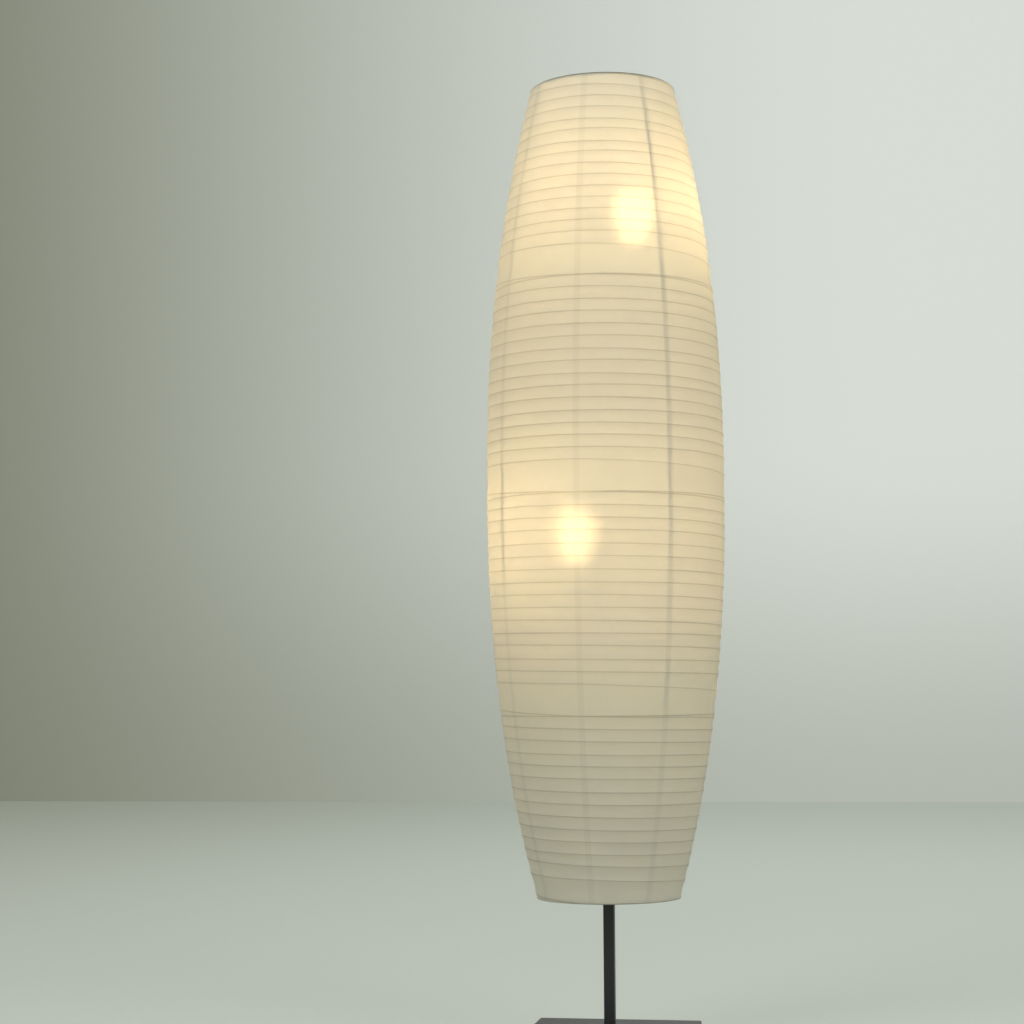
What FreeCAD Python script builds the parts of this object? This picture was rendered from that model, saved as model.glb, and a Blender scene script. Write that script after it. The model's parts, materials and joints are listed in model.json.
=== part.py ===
"""Paper lantern floor lamp: a tall barrel of ribbed paper on a square steel stem, with two lamps inside.

Millimetres, +Z up. The origin is on the floor under the middle of the base, and -Y is the front.
The barrel hangs from the top of the stem by a four-armed spider and is stretched by four bent struts.
The two lampholders stand on arms welded to the sides of the stem, the lower one left, the upper right.
"""

import FreeCAD, Part

import math
import os

Vector = FreeCAD.Vector
UP = Vector(0, 0, 1)
ORIGIN = Vector(0, 0, 0)

# Base: a square plate on four rubber pads
base_side = 250.0
base_thickness = 8.0
base_corner_radius = 4.0
base_edge_chamfer = 1.0
pad_side = 20.0
pad_corner_cut = 4.0
pad_height = 3.0
pad_inset = 24.0
bolt_recess_radius = 14.0
bolt_recess_depth = 5.5

# Stem: square tube in three lengths
tube_side = 16.0
tube_wall = 1.2
tube_corner_radius = 1.6
tube_length = 460.0
coupler_length = 80.0
coupler_wall = 1.5
coupler_play = 0.1
coupler_screw_radius = 2.0
coupler_screw_above_joint = 20.0
foot_plug_height = 16.0
stem_bolt_radius = 4.0
stem_bolt_head_across = 13.0
stem_bolt_head_height = 5.0

# Mains inlet in the back of the stem
inlet_height = 24.0
inlet_bore_radius = 3.3
inlet_neck_radius = 4.6
inlet_flange_across = 13.0
inlet_flange_thickness = 2.5
inlet_neck_length = 2.7
splice_side = 9.0
splice_height = 24.0
splice_above_base = 50.0

# Inner leads
lead_radius = 2.0
lead_spacing = 5.2
lead_bend_radius = 12.0
lead_sides = 6
lead_exit_drop = 20.0
lead_hole_radius = 4.2
lead_hole_below_run = 2.4

# Lamps and lampholders; heights are those of the widest part of each bulb above the base
lower_glow_height = 746.0
upper_glow_height = 1216.0
lamp_offset = 46.0
bulb_radius = 30.0
bulb_length = 106.0
bulb_neck_radius = 14.5
globe_start = -40.0
globe_rings = 6
lamp_panels = 24
screw_cap_radius = 13.05
screw_cap_tip_radius = 5.0
screw_cap_height = 26.0
holder_radius = 19.5
holder_wall = 1.8
holder_height = 56.0
holder_foot_radius = 13.0
holder_shoulder = 12.0
socket_depth = 24.0
contact_thickness = 2.0
contact_length = 12.0
contact_width = 6.0
core_thickness = 6.0
liner_radius = 13.4
liner_wall = 0.5
liner_height = 17.0
nipple_radius = 5.0
nipple_bore_radius = 3.2
nipple_head_across = 14.0
nipple_head_height = 4.0
nipple_reach = 9.0

# Lampholder arms
arm_width = 16.0
arm_thickness = 2.0
arm_reach = 58.0
arm_upstand = 28.0
arm_end_radius = 6.0
arm_bend_radius = 1.5

# Stem head and what holds the shade on it
head_plug_depth = 14.0
head_flange_thickness = 2.0
stud_radius = 4.0
stud_length = 13.0
washer_radius = 9.0
washer_thickness = 2.0
washer_play = 0.3
washer_panels = 32
hub_radius = 12.0
hub_thickness = 2.0
hub_play = 0.4
finial_across = 13.0
finial_height = 14.0
finial_chamfer = 2.0
finial_bore_spare = 1.0
finial_play = 0.15

# Shade: heights above the base of the bottom hem, the closed turns between tiers, and the top edge
tier_edges = [200.0, 471.0, 787.0, 1095.0, 1393.0]
ribs_in_tier = [13, 15, 15, 15]
plain_band = [37.0, 46.0, 46.0, 46.0]
widest_radius = 176.0
end_radius = 106.5
barrel_fullness = 2.25
rib_rise = 0.9
paper_wall = 0.8
paper_panels = 32
ring_section = 3.0
ring_above_paper = 2.0
strut_section = 2.4
strut_play = 0.3
strut_count = 4
first_strut_angle = 309.0
spider_drop = 21.0
spider_section = 3.0
spider_foot = 14.0

# Heights that follow from the sizes above
base_top = pad_height + base_thickness
shade_bottom = base_top + tier_edges[0]
shade_top = base_top + tier_edges[-1]
top_ring_bottom = shade_top + ring_above_paper - ring_section
shade_middle = (shade_bottom + shade_top) / 2
half_shade = (shade_top - shade_bottom) / 2
lower_joint = base_top + tube_length
upper_joint = lower_joint + tube_length
hub_top = shade_top - spider_drop
hub_bottom = hub_top - hub_thickness
seat_height = hub_bottom - washer_thickness
stem_top = seat_height - head_flange_thickness
bore_half = tube_side / 2 - tube_wall
panel_squeeze = math.cos(math.pi / paper_panels)


# ---------------------------------------------------------------- helpers

def revolved(profile):
    """A solid turned about the lamp's axis, from a closed outline of (radius, height) points."""
    corners = [Vector(radius, 0, height) for radius, height in profile]
    outline = Part.makePolygon(corners + corners[:1])
    return Part.Face(outline).revolve(ORIGIN, UP, 360)


def panelled(profile, panels, axis_x=0.0, start_angle=0.0):
    """A closed outline of (radius, height) points carried round an upright axis in flat panels."""
    def corner(point, step):
        angle = math.radians(start_angle) + 2 * math.pi * step / panels
        radius, height = point
        return Vector(axis_x + radius * math.cos(angle), radius * math.sin(angle), height)

    faces = []
    for start, end in zip(profile, profile[1:] + profile[:1]):
        for step in range(panels):
            ring = [corner(start, step), corner(start, step + 1), corner(end, step + 1), corner(end, step)]
            corners = [point for index, point in enumerate(ring) if not point.isEqual(ring[index - 1], 1e-6)]
            if len(corners) > 2:
                faces.append(Part.Face(Part.makePolygon(corners + corners[:1])))
    skin = Part.makeShell(faces)
    skin.sewShape()
    return Part.makeSolid(skin)


def prism(corners, depth):
    """A flat outline pushed along the vector depth."""
    return Part.Face(Part.makePolygon(corners + corners[:1])).extrude(depth)


def polygon_bar(sides, across_flats, start, length):
    """An upright bar of regular section, such as a bolt head."""
    corner_radius = across_flats / 2 / math.cos(math.pi / sides)
    corners = []
    for corner in range(sides):
        angle = 2 * math.pi * (corner + 0.5) / sides
        corners.append(start + Vector(corner_radius * math.cos(angle), corner_radius * math.sin(angle), 0))
    return prism(corners, Vector(0, 0, length))


def square_bar(side, bottom, top, corner_radius=0.0):
    bar = Part.makeBox(side, side, top - bottom, Vector(-side / 2, -side / 2, bottom))
    if corner_radius:
        upright = [edge for edge in bar.Edges if abs(edge.tangentAt(edge.FirstParameter).z) > 0.9]
        bar = bar.makeFillet(corner_radius, upright)
    return bar


def bent_bar(route, thickness, width):
    """A flat strip bent to a route of (x, z) points, with mitred bends; its width is centred on y = 0."""
    left, right = [], []
    for index, (x, z) in enumerate(route):
        sides = []
        if index:
            sides.append((x - route[index - 1][0], z - route[index - 1][1]))
        if index < len(route) - 1:
            sides.append((route[index + 1][0] - x, route[index + 1][1] - z))
        sides = [(dx / math.hypot(dx, dz), dz / math.hypot(dx, dz)) for dx, dz in sides]
        normal_x = -sum(dz for _, dz in sides)
        normal_z = sum(dx for dx, _ in sides)
        size = math.hypot(normal_x, normal_z)
        mitre = size / len(sides)
        reach = thickness / 2 / mitre
        offset_x, offset_z = reach * normal_x / size, reach * normal_z / size
        left.append(Vector(x + offset_x, -width / 2, z + offset_z))
        right.append(Vector(x - offset_x, -width / 2, z - offset_z))
    return prism(left + right[::-1], Vector(0, width, 0))


def turned(solid, angle):
    """A copy turned about the lamp's axis; 0 degrees faces +X and the angle runs anticlockwise."""
    copy = solid.copy()
    copy.rotate(ORIGIN, UP, angle)
    return copy


# ---------------------------------------------------------------- base

def base_plate():
    half = base_side / 2
    plate = Part.makeBox(base_side, base_side, base_thickness, Vector(-half, -half, pad_height))
    upright = [edge for edge in plate.Edges if abs(edge.tangentAt(edge.FirstParameter).z) > 0.9]
    plate = plate.makeFillet(base_corner_radius, upright)
    top_edges = [edge for edge in plate.Edges if edge.BoundBox.ZMin > base_top - 0.001]
    plate = plate.makeChamfer(base_edge_chamfer, top_edges)
    recess = Part.makeCylinder(bolt_recess_radius, bolt_recess_depth, Vector(0, 0, pad_height))
    hole = Part.makeCylinder(stem_bolt_radius, base_thickness, Vector(0, 0, pad_height))
    return plate.cut(recess.fuse(hole))


def base_pads():
    """Square rubber pads with cut corners, one near each corner of the plate."""
    place = base_side / 2 - pad_inset
    half = pad_side / 2
    pads = []
    for side_x in (-1, 1):
        for side_y in (-1, 1):
            middle = Vector(side_x * place, side_y * place, 0)
            corners = []
            for turn in range(4):
                angle = math.radians(90 * turn)
                for x, y in ((half, half - pad_corner_cut), (half - pad_corner_cut, half)):
                    corners.append(middle + Vector(x * math.cos(angle) - y * math.sin(angle),
                                                   x * math.sin(angle) + y * math.cos(angle), 0))
            pads.append(prism(corners, Vector(0, 0, pad_height)))
    return pads


def stem_bolt():
    head_bottom = pad_height + bolt_recess_depth - stem_bolt_head_height
    head = polygon_bar(6, stem_bolt_head_across, Vector(0, 0, head_bottom), stem_bolt_head_height)
    shank_top = base_top + foot_plug_height
    shank_bottom = head_bottom + stem_bolt_head_height
    shank = Part.makeCylinder(stem_bolt_radius, shank_top - shank_bottom, Vector(0, 0, shank_bottom))
    return head.fuse(shank)


# ---------------------------------------------------------------- stem

def tube_section(bottom, top):
    """A length of square tube, with its rounded outer corners."""
    outside = square_bar(tube_side, bottom, top, tube_corner_radius)
    return outside.cut(square_bar(2 * bore_half, bottom, top))


def wall_hole(radius, x, y, height):
    """A drill that runs outwards from the axis, for a hole in one wall of the stem."""
    way_out = Vector(x, y, 0)
    start = way_out * (tube_side / 4) + Vector(0, 0, height)
    return Part.makeCylinder(radius, tube_side / 2, start, way_out)


def stem_lower():
    tube = tube_section(base_top, lower_joint)
    inlet = wall_hole(inlet_neck_radius, 0, 1, base_top + inlet_height)
    return tube.cut(inlet)


def stem_middle():
    tube = tube_section(lower_joint, upper_joint)
    screw = wall_hole(coupler_screw_radius, 0, 1, lower_joint + coupler_screw_above_joint)
    return tube.cut(screw.fuse(lead_exit(-1, lower_glow_height)))


def stem_upper():
    tube = tube_section(upper_joint, stem_top)
    screw = wall_hole(coupler_screw_radius, 0, 1, upper_joint + coupler_screw_above_joint)
    return tube.cut(screw.fuse(lead_exit(1, upper_glow_height)))


def stem_foot_plug():
    plug = square_bar(2 * bore_half, base_top, base_top + foot_plug_height)
    return plug.cut(Part.makeCylinder(stem_bolt_radius, foot_plug_height, Vector(0, 0, base_top)))


def stem_couplers():
    """Inner sleeves, half in one length and half in the next, drilled for their lock screws."""
    sleeves = []
    for joint in (lower_joint, upper_joint):
        bottom, top = joint - coupler_length / 2, joint + coupler_length / 2
        outer = 2 * (bore_half - coupler_play)
        sleeve = square_bar(outer, bottom, top).cut(square_bar(outer - 2 * coupler_wall, bottom, top))
        sleeves.append(sleeve.cut(wall_hole(coupler_screw_radius, 0, 1, joint + coupler_screw_above_joint)))
    return sleeves


def coupler_screws():
    """Grub screws through the back of the stem into the sleeves, flush with the tube."""
    inner_end = bore_half - coupler_play - coupler_wall
    length = tube_side / 2 - inner_end
    screws = []
    for joint in (lower_joint, upper_joint):
        start = Vector(0, inner_end, joint + coupler_screw_above_joint)
        screws.append(Part.makeCylinder(coupler_screw_radius, length, start, Vector(0, 1, 0)))
    return screws


def stem_head():
    """A plug with a square flange that closes the stem, and the stud that the shade hangs on."""
    plug = square_bar(2 * bore_half, stem_top - head_plug_depth, stem_top)
    flange = square_bar(tube_side, stem_top, seat_height)
    stud = Part.makeCylinder(stud_radius, stud_length, Vector(0, 0, seat_height))
    return plug.fuse([flange, stud]).removeSplitter()


# ---------------------------------------------------------------- wiring

def inlet_bush():
    """A hex-flanged bush in the back of the stem, bored for the mains cord."""
    flange = polygon_bar(6, inlet_flange_across, ORIGIN, inlet_flange_thickness)
    neck = Part.makeCylinder(inlet_neck_radius, inlet_neck_length, Vector(0, 0, -inlet_neck_length))
    length = inlet_flange_thickness + inlet_neck_length
    bore = Part.makeCylinder(inlet_bore_radius, length, Vector(0, 0, -inlet_neck_length))
    bush = flange.fuse(neck).cut(bore)
    bush.rotate(ORIGIN, Vector(1, 0, 0), -90)
    bush.translate(Vector(0, tube_side / 2, base_top + inlet_height))
    return bush


def lead_splice():
    bottom = base_top + splice_above_base
    return square_bar(splice_side, bottom, bottom + splice_height)


def lead_exit(side, glow_height):
    """The hole where a lead leaves the stem, under its lampholder."""
    run_height = holder_floor(glow_height) - lead_exit_drop
    return wall_hole(lead_hole_radius, side, 0, run_height - lead_hole_below_run)


def inner_lead(side, glow_height):
    """A lead from the splice up the stem, out under the arm and up into the lampholder."""
    run_height = holder_floor(glow_height) - lead_exit_drop
    inside_x = side * lead_spacing / 2
    lamp_x = side * lamp_offset
    bend = lead_bend_radius
    lag = bend * (1 - math.sqrt(0.5))
    start = Vector(inside_x, 0, base_top + splice_above_base + splice_height)
    first_bend = [
        Vector(inside_x, 0, run_height - bend),
        Vector(inside_x + side * lag, 0, run_height - lag),
        Vector(inside_x + side * bend, 0, run_height),
    ]
    second_bend = [
        Vector(lamp_x - side * bend, 0, run_height),
        Vector(lamp_x - side * lag, 0, run_height + lag),
        Vector(lamp_x, 0, run_height + bend),
    ]
    end = Vector(lamp_x, 0, core_bottom(glow_height))
    route = Part.Wire([
        Part.makeLine(start, first_bend[0]),
        Part.Arc(*first_bend).toShape(),
        Part.makeLine(first_bend[2], second_bend[0]),
        Part.Arc(*second_bend).toShape(),
        Part.makeLine(second_bend[2], end),
    ])
    corners = []
    for corner in range(lead_sides):
        angle = 2 * math.pi * (corner + 0.5) / lead_sides
        corners.append(start + Vector(lead_radius * math.cos(angle), lead_radius * math.sin(angle), 0))
    section = Part.makePolygon(corners + corners[:1])
    lead = route.makePipeShell([section], True, False)
    section_area = Part.Face(section).Area
    print("lead length %.0f mm, volume over section times length %.4f"
          % (route.Length, lead.Volume / (section_area * route.Length)))
    return lead


# ---------------------------------------------------------------- lampholders and lamps

def contact_height(glow_height):
    """Where the bulb's tip stands: the widest part of the glass is one radius below its crown."""
    return base_top + glow_height - (bulb_length - bulb_radius)


def holder_floor(glow_height):
    return contact_height(glow_height) + socket_depth - holder_height


def core_bottom(glow_height):
    return contact_height(glow_height) - contact_thickness - core_thickness


def lampholder_arm(side, glow_height):
    """A bent strip welded upright to the stem, with a hole in its free leg for the hollow bolt."""
    floor = holder_floor(glow_height)
    middle_x = tube_side / 2 + arm_thickness / 2
    middle_z = floor - arm_thickness / 2
    route = [(middle_x, floor + arm_upstand), (middle_x, middle_z), (arm_reach, middle_z)]
    arm = bent_bar(route, arm_thickness, arm_width)
    ends = [edge for edge in arm.Edges
            if edge.BoundBox.XMin > arm_reach - 0.1 and edge.BoundBox.YLength < 0.1]
    arm = arm.makeFillet(arm_end_radius, ends)
    inner_bend = [edge for edge in arm.Edges if edge.BoundBox.YLength > arm_width - 0.1
                  and edge.BoundBox.XLength < 0.1 and edge.BoundBox.XMin < middle_x + arm_thickness
                  and abs(edge.BoundBox.ZMin - floor) < 0.1]
    arm = arm.makeFillet(arm_bend_radius, inner_bend)
    arm = arm.cut(Part.makeCylinder(nipple_radius, arm_thickness, Vector(lamp_offset, 0, floor - arm_thickness)))
    return arm if side > 0 else turned(arm, 180)


def holder_nipple(side, glow_height):
    """A hollow hex bolt from under the arm into the lampholder's floor."""
    floor = holder_floor(glow_height)
    x = side * lamp_offset
    head_bottom = floor - arm_thickness - nipple_head_height
    head = polygon_bar(6, nipple_head_across, Vector(x, 0, head_bottom), nipple_head_height)
    shank_bottom = floor - arm_thickness
    shank = Part.makeCylinder(nipple_radius, arm_thickness + nipple_reach, Vector(x, 0, shank_bottom))
    length = nipple_head_height + arm_thickness + nipple_reach
    bore = Part.makeCylinder(nipple_bore_radius, length, Vector(x, 0, head_bottom))
    return head.fuse(shank).cut(bore)


def holder_shell(side, glow_height):
    """The lampholder's outer cup: a coned foot and a straight skirt, open at the top."""
    floor = holder_floor(glow_height)
    inside = holder_radius - holder_wall
    hole = nipple_radius / math.cos(math.pi / lamp_panels)
    outline = [
        (hole, 0), (holder_foot_radius, 0), (holder_radius, holder_shoulder),
        (holder_radius, holder_height), (inside, holder_height), (inside, holder_shoulder + 1),
        (holder_foot_radius - holder_wall, 2 * holder_wall), (hole, 2 * holder_wall),
    ]
    return panelled([(radius, floor + height) for radius, height in outline], lamp_panels, side * lamp_offset)


def holder_core(side, glow_height):
    """The insulator across the lampholder, under the thread and the contact."""
    bottom = core_bottom(glow_height)
    radius = holder_radius - holder_wall
    outline = [(0, bottom), (radius, bottom), (radius, bottom + core_thickness), (0, bottom + core_thickness)]
    return panelled(outline, lamp_panels, side * lamp_offset)


def holder_contact(side, glow_height):
    bottom = contact_height(glow_height) - contact_thickness
    corner = Vector(side * lamp_offset - contact_length / 2, -contact_width / 2, bottom)
    return Part.makeBox(contact_length, contact_width, contact_thickness, corner)


def holder_liner(side, glow_height):
    """The metal thread shell, which stands on the insulator."""
    bottom = core_bottom(glow_height) + core_thickness
    top = bottom + liner_height
    outer = liner_radius + liner_wall
    outline = [(liner_radius, bottom), (outer, bottom), (outer, top), (liner_radius, top)]
    return panelled(outline, lamp_panels, side * lamp_offset)


def pair(maker):
    """The same piece for the lower lamp, left of the stem, and the upper lamp, right of it."""
    return [maker(-1, lower_glow_height), maker(1, upper_glow_height)]


def bulb_cap(side, glow_height):
    tip = contact_height(glow_height)
    shell_start = tip + screw_cap_tip_radius
    top = tip + screw_cap_height
    outline = [(0, tip), (screw_cap_tip_radius, tip), (screw_cap_radius, shell_start),
               (screw_cap_radius, top), (0, top)]
    return panelled(outline, lamp_panels, side * lamp_offset)


def bulb_globe(side, glow_height):
    """An opal globe that narrows in a straight cone to its neck; the globe is a row of level rings."""
    tip = contact_height(glow_height)
    middle = base_top + glow_height
    outline = [(0, tip + screw_cap_height), (bulb_neck_radius, tip + screw_cap_height)]
    for ring in range(globe_rings):
        latitude = math.radians(globe_start + (90 - globe_start) * ring / globe_rings)
        outline.append((bulb_radius * math.cos(latitude), middle + bulb_radius * math.sin(latitude)))
    outline.append((0, middle + bulb_radius))
    return panelled(outline, lamp_panels, side * lamp_offset)


# ---------------------------------------------------------------- shade

def barrel_radius(height):
    """Radius of the barrel over the ribs: widest in the middle, a little fuller than an arc of a circle."""
    share = abs(height - shade_middle) / half_shade
    return widest_radius - (widest_radius - end_radius) * share ** barrel_fullness


def rib_heights():
    """Every turn of the four rib wires, from the hem to the top edge, with the plain band in each tier."""
    heights = []
    for tier, ribs in enumerate(ribs_in_tier):
        bottom = base_top + tier_edges[tier]
        top = base_top + tier_edges[tier + 1]
        pitch = (top - bottom - plain_band[tier]) / ribs
        heights.append(bottom)
        heights += [bottom + plain_band[tier] + pitch * rib for rib in range(ribs)]
    return heights + [shade_top]


def wall_stations():
    """Heights where the inside of the paper changes slope: each tier's edges and its middle."""
    edges = [base_top + edge for edge in tier_edges]
    stations = []
    for bottom, top in zip(edges, edges[1:]):
        stations += [bottom, (bottom + top) / 2]
    return stations + [shade_top]


def inner_radius(height):
    return barrel_radius(height) - rib_rise - paper_wall


def inner_route(bottom, top):
    """Points down the inside of the paper from bottom to top, on the straight runs between stations."""
    stations = wall_stations()
    points = []
    for low, high in zip(stations, stations[1:]):
        for height in (max(low, bottom), min(high, top)):
            if low <= height <= high:
                share = (height - low) / (high - low)
                radius = inner_radius(low) + share * (inner_radius(high) - inner_radius(low))
                if not points or height > points[-1][1] + 0.001:
                    points.append((radius, height))
    return points


def shade_paper():
    """The paper with its rib wires: each turn stands proud, and the paper sinks a little between turns."""
    heights = rib_heights()
    outside = [(barrel_radius(heights[0]), heights[0])]
    for low, high in zip(heights, heights[1:]):
        sunk = (barrel_radius(low) + barrel_radius(high)) / 2 - rib_rise
        outside.append((sunk, (low + high) / 2))
        outside.append((barrel_radius(high), high))
    inside = inner_route(shade_bottom, shade_top)
    print("ribs %d, least pitch %.2f mm" % (len(heights), min(b - a for a, b in zip(heights, heights[1:]))))
    return panelled(outside + inside[::-1], paper_panels, 0, first_strut_angle)


def wire_ring(outer_radius, bottom):
    inner = outer_radius - ring_section
    top = bottom + ring_section
    return revolved([(inner, bottom), (outer_radius, bottom), (outer_radius, top), (inner, top)])


def ring_radius(height):
    """The outside of a ring that touches the middles of the paper's panels."""
    return inner_radius(height) * panel_squeeze


def shade_rings():
    """The top ring stands a little above the paper's top edge, and the bottom ring lies inside the hem."""
    return [
        wire_ring(ring_radius(shade_top), top_ring_bottom),
        wire_ring(ring_radius(shade_bottom), shade_bottom),
    ]


def shade_struts():
    """Four bent wires along the inside of the paper, from the bottom ring up to the top ring."""
    bottom = shade_bottom + ring_section
    inset = strut_section / 2 + strut_play
    route = [(radius - inset, height) for radius, height in inner_route(bottom, top_ring_bottom)]
    strut = bent_bar(route, strut_section, strut_section)
    reach = 2 * widest_radius
    between_rings = Part.makeBox(reach, reach, top_ring_bottom - bottom, Vector(0, -reach / 2, bottom))
    strut = strut.common(between_rings)
    return [turned(strut, first_strut_angle + 360 * index / strut_count) for index in range(strut_count)]


def top_spider():
    """A hub on the stud and four arms that run out, up and under the top ring, welded together."""
    hub = Part.makeCylinder(hub_radius, hub_thickness, Vector(0, 0, hub_bottom))
    hole = Part.makeCylinder(stud_radius + hub_play, hub_thickness, Vector(0, 0, hub_bottom))
    ring_outside = ring_radius(shade_top)
    hub_level = hub_bottom + hub_thickness / 2
    ring_level = top_ring_bottom - hub_thickness / 2
    route = [
        (hub_radius - 2, hub_level),
        (ring_outside - spider_foot, hub_level),
        (ring_outside - ring_section, ring_level),
        (ring_outside - 1, ring_level),
    ]
    arm = bent_bar(route, hub_thickness, spider_section)
    arms = [turned(arm, first_strut_angle + 360 * (index + 0.5) / strut_count) for index in range(strut_count)]
    return hub.fuse(arms).cut(hole).removeSplitter()


def seat_washer():
    outline = [(stud_radius + washer_play, seat_height), (washer_radius, seat_height),
               (washer_radius, hub_bottom), (stud_radius + washer_play, hub_bottom)]
    return panelled(outline, washer_panels)


def finial_nut():
    """A hexagonal cap nut with a bevelled crown, blind above the stud."""
    nut = polygon_bar(6, finial_across, Vector(0, 0, hub_top), finial_height)
    top_edges = [edge for edge in nut.Edges if edge.BoundBox.ZMin > hub_top + finial_height - 0.001]
    nut = nut.makeChamfer(finial_chamfer, top_edges)
    bore_depth = seat_height + stud_length - hub_top + finial_bore_spare
    bore = Part.makeCylinder(stud_radius + finial_play, bore_depth, Vector(0, 0, hub_top))
    return nut.cut(bore)


# ---------------------------------------------------------------- export

def as_list(shape):
    return shape if isinstance(shape, list) else [shape]


pieces = {
    "base_plate": base_plate(),
    "base_pads": base_pads(),
    "stem_bolt": stem_bolt(),
    "stem_foot_plug": stem_foot_plug(),
    "stem_lower": stem_lower(),
    "stem_middle": stem_middle(),
    "stem_upper": stem_upper(),
    "stem_couplers": stem_couplers(),
    "coupler_screws": coupler_screws(),
    "stem_head": stem_head(),
    "inlet_bush": inlet_bush(),
    "lead_splice": lead_splice(),
    "lower_lead": inner_lead(-1, lower_glow_height),
    "upper_lead": inner_lead(1, upper_glow_height),
    "lower_arm": lampholder_arm(-1, lower_glow_height),
    "upper_arm": lampholder_arm(1, upper_glow_height),
    "holder_nipples": pair(holder_nipple),
    "holder_shells": pair(holder_shell),
    "holder_cores": pair(holder_core),
    "holder_contacts": pair(holder_contact),
    "holder_liners": pair(holder_liner),
    "lower_bulb_cap": bulb_cap(-1, lower_glow_height),
    "lower_bulb_globe": bulb_globe(-1, lower_glow_height),
    "upper_bulb_cap": bulb_cap(1, upper_glow_height),
    "upper_bulb_globe": bulb_globe(1, upper_glow_height),
    "seat_washer": seat_washer(),
    "top_spider": top_spider(),
    "finial_nut": finial_nut(),
    "shade_rings": shade_rings(),
    "shade_struts": shade_struts(),
    "shade_paper": shade_paper(),
}

os.makedirs("parts", exist_ok=True)
for name, shape in pieces.items():
    Part.makeCompound(as_list(shape)).exportStep("parts/%s.step" % name)
print("pieces: %d nodes" % len(pieces))
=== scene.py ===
# %% [markdown]
# # A paper lantern floor lamp, piece by piece
# The lamp is a tall barrel of ribbed paper that hangs on a square steel stem, with two warm bulbs inside.
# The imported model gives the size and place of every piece, so it is loaded first and never moved.

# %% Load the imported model
import json
import math

import bmesh
import bpy
from mathutils import Matrix, Vector


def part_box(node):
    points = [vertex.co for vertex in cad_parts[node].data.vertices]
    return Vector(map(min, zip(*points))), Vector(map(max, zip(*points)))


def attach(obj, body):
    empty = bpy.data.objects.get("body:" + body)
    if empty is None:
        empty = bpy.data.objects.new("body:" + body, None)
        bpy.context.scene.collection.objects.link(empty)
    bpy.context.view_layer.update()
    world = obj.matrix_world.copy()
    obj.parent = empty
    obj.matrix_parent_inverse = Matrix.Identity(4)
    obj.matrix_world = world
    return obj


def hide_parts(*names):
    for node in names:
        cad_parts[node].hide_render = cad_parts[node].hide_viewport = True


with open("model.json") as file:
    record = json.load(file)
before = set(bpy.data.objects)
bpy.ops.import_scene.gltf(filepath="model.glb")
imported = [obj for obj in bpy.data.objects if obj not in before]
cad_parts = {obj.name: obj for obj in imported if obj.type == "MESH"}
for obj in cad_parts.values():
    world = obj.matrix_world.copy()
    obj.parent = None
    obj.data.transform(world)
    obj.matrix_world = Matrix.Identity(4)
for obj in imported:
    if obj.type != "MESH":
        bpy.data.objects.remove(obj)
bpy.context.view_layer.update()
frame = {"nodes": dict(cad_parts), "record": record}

MM = 0.001

# %% [markdown]
# ## Small helpers
# Every node tree is built by one function, which adds a node, sets it and joins its inputs.
# Colours are written as they look on a screen, and turned into the linear values that light needs.


# %% Nodes and colours
def add(tree, kind, inputs=None, **settings):
    """Adds a node. inputs maps a socket's name or number to a value, a socket or a node."""
    node = tree.nodes.new(kind)
    for name, value in settings.items():
        setattr(node, name, value)
    for key, value in (inputs or {}).items():
        if isinstance(value, bpy.types.Node):
            value = value.outputs[0]
        if isinstance(value, bpy.types.NodeSocket):
            tree.links.new(value, node.inputs[key])
        else:
            node.inputs[key].default_value = value
    return node


def srgb(code):
    """A colour such as "#EFE6D0" as linear red, green, blue and alpha."""
    parts = [int(code[i:i + 2], 16) / 255 for i in (1, 3, 5)]
    linear = [v / 12.92 if v <= 0.04045 else ((v + 0.055) / 1.055) ** 2.4 for v in parts]
    return (*linear, 1.0)


def new_tree(name, inputs, output="NodeSocketGeometry"):
    """An empty geometry tree with named inputs, each given as (socket type, starting value)."""
    tree = bpy.data.node_groups.new(name, "GeometryNodeTree")
    for label, (kind, start) in inputs.items():
        socket = tree.interface.new_socket(name=label, in_out="INPUT", socket_type="NodeSocket" + kind)
        if start is not None:
            socket.default_value = start
    tree.interface.new_socket(name="Result", in_out="OUTPUT", socket_type=output)
    return tree, add(tree, "NodeGroupInput").outputs


def grow(name, tree, material, **values):
    """Runs a geometry tree and gives back its result as a plain mesh object."""
    host = bpy.data.objects.new(name + "_host", bpy.data.meshes.new(name + "_host"))
    bpy.context.scene.collection.objects.link(host)
    modifier = host.modifiers.new("grow", "NODES")
    modifier.node_group = tree
    sockets = {item.name: item.identifier for item in tree.interface.items_tree if item.in_out == "INPUT"}
    for label, value in {**values, "Material": material}.items():
        modifier[sockets[label.replace("_", " ")]] = value
    graph = bpy.context.evaluated_depsgraph_get()
    mesh = bpy.data.meshes.new_from_object(host.evaluated_get(graph))
    bpy.data.objects.remove(host)
    return as_object(name, mesh)


def as_object(name, mesh):
    mesh.name = name
    piece = bpy.data.objects.new(name, mesh)
    bpy.context.scene.collection.objects.link(piece)
    return piece


# %% [markdown]
# ## Camera
# The eye is 0.53 m above the floor and 3.2 m from the stem, a little to the right of the lamp's front.
# The lens is a long one, so the barrel's sides stay almost upright, and the frame is shifted up to its top.

# %% Camera
PICTURE = 1024
VIEW_SIDE = math.radians(10.0)
EYE_HEIGHT = 0.533
STEM_DEPTH = 3.197
STEM_RIGHT_OF_MIDDLE = 0.141
FOCAL_PIXELS = 2156
HORIZON_ROW = 681
LEAN = math.radians(0.5)
SENSOR = 36.0

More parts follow.
